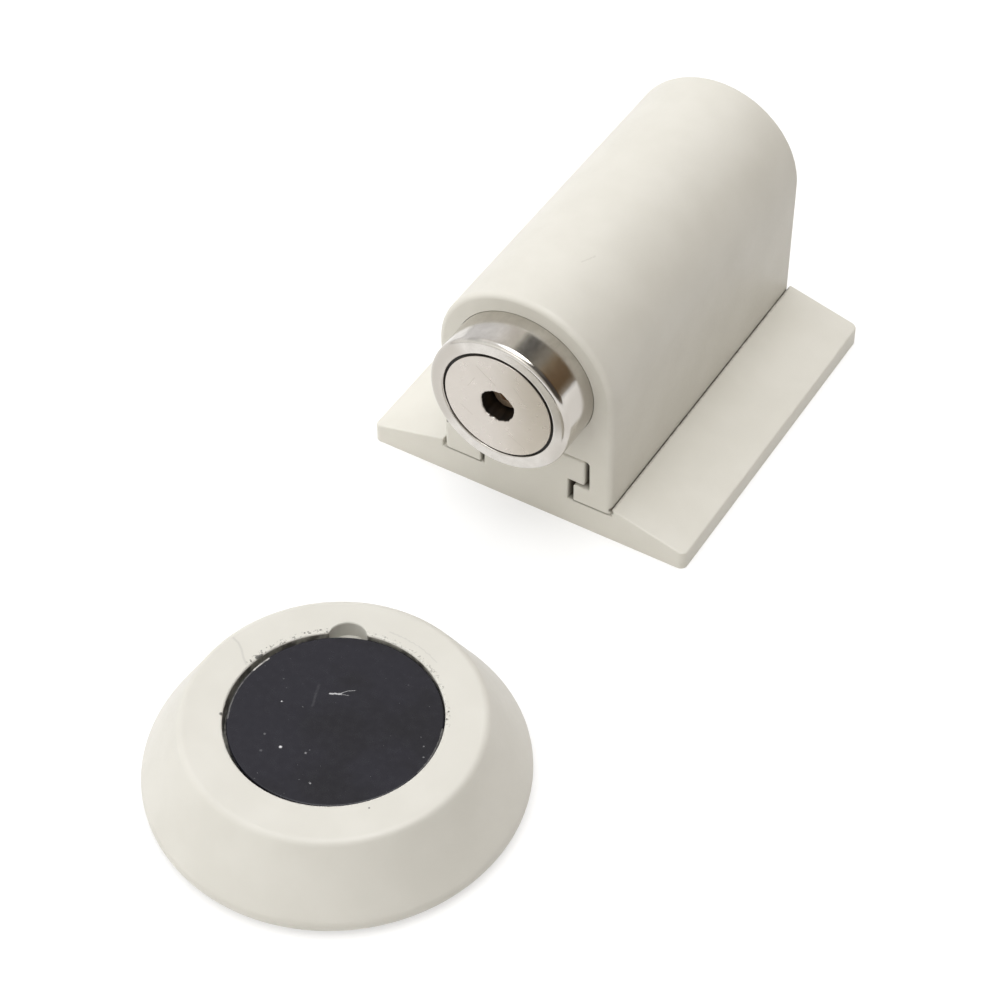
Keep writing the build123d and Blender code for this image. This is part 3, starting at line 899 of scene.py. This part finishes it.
# World: a studio sky in six rings, bright overhead and dark at the right. Each ring has the height of
# its upper edge in degrees, and its stops: an azimuth (0 = the front, 90 = the left), red, green, blue.
HORIZON = (
    (0, 0.91, 0.89, 0.84), (45, 0.98, 0.975, 0.94), (90, 1.00, 0.99, 0.97), (135, 0.80, 0.79, 0.80),
    (180, 0.77, 0.74, 0.71),
)
SKY = (
    (4, (
        *HORIZON, (212, 0.62, 0.58, 0.52), (221, 0.38, 0.34, 0.29), (228, 0.31, 0.27, 0.22),
        (242, 0.27, 0.23, 0.19), (258, 0.24, 0.21, 0.18), (314, 0.26, 0.24, 0.21), (338, 0.62, 0.59, 0.54),
    )),
    (20, (
        *HORIZON, (212, 0.70, 0.66, 0.60), (221, 0.28, 0.20, 0.14), (226, 0.15, 0.097, 0.052),
        (242, 0.11, 0.07, 0.035), (258, 0.07, 0.06, 0.05), (314, 0.08, 0.07, 0.06), (338, 0.60, 0.57, 0.52),
    )),
    (40, (
        (0, 1.85, 1.82, 1.75), (45, 0.90, 0.90, 0.87), (90, 0.68, 0.68, 0.68), (135, 0.83, 0.82, 0.82),
        (180, 0.98, 0.92, 0.86), (204, 0.45, 0.41, 0.36), (213, 0.28, 0.255, 0.22), (221, 0.26, 0.20, 0.13),
        (226, 0.155, 0.10, 0.055), (240, 0.11, 0.07, 0.04), (256, 0.07, 0.06, 0.055),
        (314, 0.07, 0.06, 0.055), (336, 0.50, 0.48, 0.44),
    )),
    (65, (
        (0, 0.95, 0.93, 0.89), (45, 0.94, 0.92, 0.89), (90, 1.05, 1.03, 1.01), (135, 0.74, 0.71, 0.68),
        (167, 0.62, 0.59, 0.53), (176, 0.22, 0.21, 0.185), (185, 0.11, 0.105, 0.095),
        (197, 0.095, 0.09, 0.08), (207, 0.16, 0.145, 0.125), (219, 0.22, 0.205, 0.165),
        (246, 0.17, 0.155, 0.135), (262, 0.13, 0.12, 0.11), (326, 0.14, 0.13, 0.12),
        (344, 0.62, 0.60, 0.56),
    )),
    (80, (
        (0, 4.9, 4.9, 4.9), (60, 2.25, 2.3, 2.45), (120, 2.0, 2.05, 2.15), (180, 4.1, 4.1, 4.15),
        (240, 4.6, 4.55, 4.45), (300, 5.1, 5.05, 4.9),
    )),
    (90, ((0, 3.45, 3.45, 3.5),)),
)
world = bpy.data.worlds.new("studio")
bpy.context.scene.world = world
world.use_nodes = True
sky = Nodes(world.node_tree)
sky.tree.nodes.clear()
split = sky.node("ShaderNodeSeparateXYZ")
sky.link(sky.node("ShaderNodeTexCoord").outputs["Generated"], split.inputs[0])
way_x, way_y, way_z = split.outputs
bearing = sky.math("ARCTAN2", sky.math("MULTIPLY", way_x, -1.0), sky.math("MULTIPLY", way_y, -1.0))
azimuth = sky.math("FRACT", sky.math("ADD", sky.math("DIVIDE", bearing, 2 * math.pi), 1.0))
height = sky.math("MULTIPLY", sky.math("ARCSINE", way_z), 180 / math.pi)


def sky_ring(stops):
    """Colour round one ring, from (azimuth, red, green, blue) stops."""
    ramp = sky.node("ShaderNodeValToRGB")
    sky.link(azimuth, ramp.inputs[0])
    stops = [*stops, (360, *stops[0][1:])]
    elements = ramp.color_ramp.elements
    while len(elements) < len(stops):
        elements.new(0.5)
    for element, (position, *colour) in zip(elements, stops):
        element.position = position / 360
        element.color = (*colour, 1)
    return ramp.outputs[0]


# From one ring to the next the colours blend over this many degrees on each side of the edge
BLEND = 6
colour = sky_ring(SKY[0][1])
for (edge, _), (_, stops) in zip(SKY, SKY[1:]):
    colour = sky.mix(sky.span(height, edge - BLEND, edge + BLEND), colour, sky_ring(stops))
room = sky.node("ShaderNodeBackground")
sky.link(colour, room.inputs["Color"])
sky.link(room.outputs[0], sky.node("ShaderNodeOutputWorld").inputs["Surface"])

# Camera at the photograph's angle
turn, tilt, roll = math.radians(31.3565), math.radians(45.7607), math.radians(-0.4185)
target = Vector((-4.01, -34.04, 0))
distance = 429.6
forward = Vector((-math.sin(turn) * math.cos(tilt), math.cos(turn) * math.cos(tilt), -math.sin(tilt)))
level = forward.cross(Vector((0, 0, 1))).normalized()
upright = level.cross(forward)
right = level * math.cos(roll) + upright * math.sin(roll)
up = upright * math.cos(roll) - level * math.sin(roll)
lens = bpy.data.cameras.new("camera")
lens.sensor_width = 36
lens.lens = 92.35
lens.clip_start = 0.01
camera = added("camera", lens)
facing = Matrix((right, up, -forward)).transposed().to_4x4()
camera.matrix_world = Matrix.Translation((target - forward * distance) * MM) @ facing
bpy.context.scene.camera = camera
bpy.context.scene.view_settings.view_transform = "Standard"
